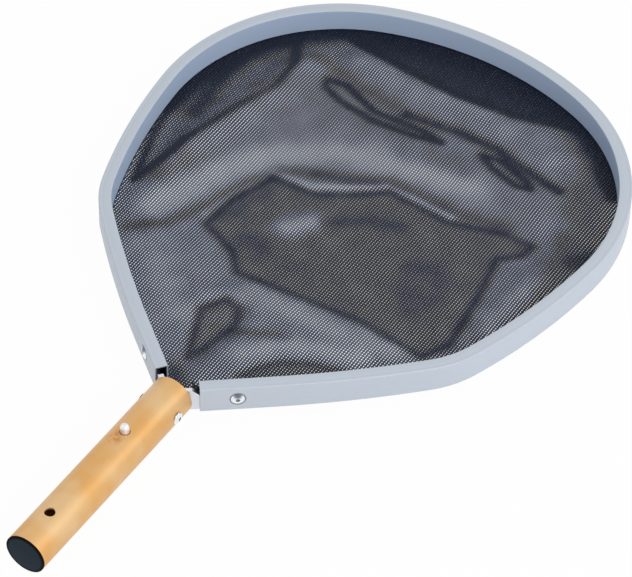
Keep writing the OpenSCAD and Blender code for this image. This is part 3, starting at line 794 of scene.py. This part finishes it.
def mouldedMaterialOf():
    # Injection moulded black plastic with a fine spark-eroded texture, darker at its rounded border
    material, tree, shader = newMaterial("mouldedPlastic", {
        "Roughness": 0.6, "Specular IOR Level": 0.06})
    place = addNode(tree, "ShaderNodeTexCoord")
    grain = addNode(tree, "ShaderNodeTexNoise", {"Scale": 1 / capFinish["texture"], "Detail": 2},
                    {"Vector": (place, "Object")})
    bump = addNode(tree, "ShaderNodeBump", {"Strength": 0.35, "Distance": capFinish["textureHeight"]},
                   {"Height": (grain, "Fac")})
    tree.links.new(bump.outputs[0], shader.inputs["Normal"])
    fromAxis = addNode(tree, "ShaderNodeVectorMath", {"operation": "MULTIPLY", 1: (1, 0, 1)},
                       {0: (place, "Object")})
    border = markAt(tree, fromAxis, 0, (0, 0, 0), capFinish["faceTo"], capFinish["borderFrom"])
    tint = addNode(tree, "ShaderNodeValToRGB", links={"Fac": (border, 0)})
    stops = tint.color_ramp.elements
    stops[0].color, stops[1].color = linearColour(capFinish["face"]), linearColour(capFinish["border"])
    tree.links.new(tint.outputs[0], shader.inputs["Base Color"])
    return material


brightMetals = {   # the skin is the size and height of its unevenness, in mm
    "castAluminium": {"colour": "#dcdde4", "rough": (0.24, 0.42), "skin": (2.381, 0.12), "metallic": 1},
    "polishedAluminium": {"colour": "#eef0f4", "rough": (0.12, 0.26), "skin": (1.1111, 0.03),
                          "metallic": 1},
    "brokenSteel": {"colour": "#77797e", "rough": (0.3, 0.5), "skin": (0.38462, 0.15), "metallic": 1},
    "nickelPlatedSteel": {"colour": "#f1f1f4", "rough": (0.16, 0.26), "skin": (1.4286, 0.01),
                          "metallic": 0.55},
    "springSteel": {"colour": "#b9bbbf", "rough": (0.2, 0.32), "skin": (1.6667, 0.02), "metallic": 1},
}


def brightMaterialOf(name):
    # Bare bright metal: clear reflections where it is polished or plated, duller ones where it is
    # cast or broken, softer in some places than in others, over a slightly uneven skin
    values = brightMetals[name]
    size, height = values["skin"]
    material, tree, shader = newMaterial(name, {
        "Base Color": values["colour"], "Metallic": values["metallic"]})
    place = addNode(tree, "ShaderNodeTexCoord")
    cloud = addNode(tree, "ShaderNodeTexNoise", {"Scale": 1 / (size * mm), "Detail": 3},
                    {"Vector": (place, "Object")})
    rough = addNode(tree, "ShaderNodeMapRange",
                    {"To Min": values["rough"][0], "To Max": values["rough"][1]},
                    {"Value": (cloud, "Fac")})
    tree.links.new(rough.outputs[0], shader.inputs["Roughness"])
    bump = addNode(tree, "ShaderNodeBump", {"Strength": 0.25, "Distance": height * mm},
                   {"Height": (cloud, "Fac")})
    tree.links.new(bump.outputs[0], shader.inputs["Normal"])
    return material


def rivetMaterialOf():
    # Polished aluminium heads, with a painted dark reflection on the upper part of the dome
    material = brightMaterialOf("polishedAluminium")
    tree = material.node_tree
    place = addNode(tree, "ShaderNodeTexCoord")
    # painted reflection: a dark patch on the upper part of the dome
    patch = markAt(tree, sameBothSides(tree, place), 0, armRivet["darkReflectionPlace"], armRivet["darkReflectionFrom"],
                   armRivet["darkReflectionTo"])
    tint = addNode(tree, "ShaderNodeValToRGB", links={"Fac": (patch, 0)})
    stops = tint.color_ramp.elements
    stops[0].color = linearColour(brightMetals["polishedAluminium"]["colour"])
    stops[1].color = linearColour(armRivet["paintedDark"])
    tree.links.new(tint.outputs[0], tree.nodes["Principled BSDF"].inputs["Base Color"])
    return material


goldMaterial = goldMaterialOf()
mouldedMaterial = mouldedMaterialOf()
castMaterial = brightMaterialOf("castAluminium")
rivetMaterial = rivetMaterialOf()
mandrelMaterial = brightMaterialOf("brokenSteel")
buttonMaterial = brightMaterialOf("nickelPlatedSteel")
springMaterial = brightMaterialOf("springSteel")

fittings = [   # node, piece, material, body, slot
    ("handle_tube", "drawn_tube", goldMaterial, "skimmer", "gold_anodised"),
    ("end_cap", "moulded_cap", mouldedMaterial, "skimmer", "cap_plastic"),
    ("yoke", "cast_yoke", castMaterial, "skimmer", "yoke_aluminium"),
    ("arm_rivets", "arm_rivet_heads", rivetMaterial, "skimmer", "rivet_aluminium"),
    ("neck_rivets", "neck_rivet_heads", rivetMaterial, "skimmer", "rivet_aluminium"),
    ("arm_rivet_mandrels", "arm_rivet_stems", mandrelMaterial, "skimmer", "mandrel_steel"),
    ("neck_rivet_mandrels", "neck_rivet_stems", mandrelMaterial, "skimmer", "mandrel_steel"),
    ("upper_button", "upper_button_dome", buttonMaterial, "upper_lock_button", "button_steel"),
    ("lower_button", "lower_button_dome", buttonMaterial, "lower_lock_button", "button_steel"),
]
for node, piece, material, body, slot in fittings:
    mesh = meshFrom(roundedCopy(node), piece, copying["shading"])
    newPiece(piece, mesh, material, body, [node])
print("handle, yoke and rivets built")


def clipHalf(side):
    bm = roundedCopy("clip_spring")
    geom = bm.verts[:] + bm.edges[:] + bm.faces[:]
    bmesh.ops.bisect_plane(bm, geom=geom, plane_co=(0, 0, 0), plane_no=(0, 0, side),
                           clear_inner=True)
    return meshFrom(bm, "clip", copying["shading"])


for side, name in ((1, "upper"), (-1, "lower")):
    leg = newPiece(name + "_clip_leg", clipHalf(side), springMaterial, None,
                   ["clip_spring"])
    body = name + "_lock_button"
    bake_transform(leg)
print("clip built")
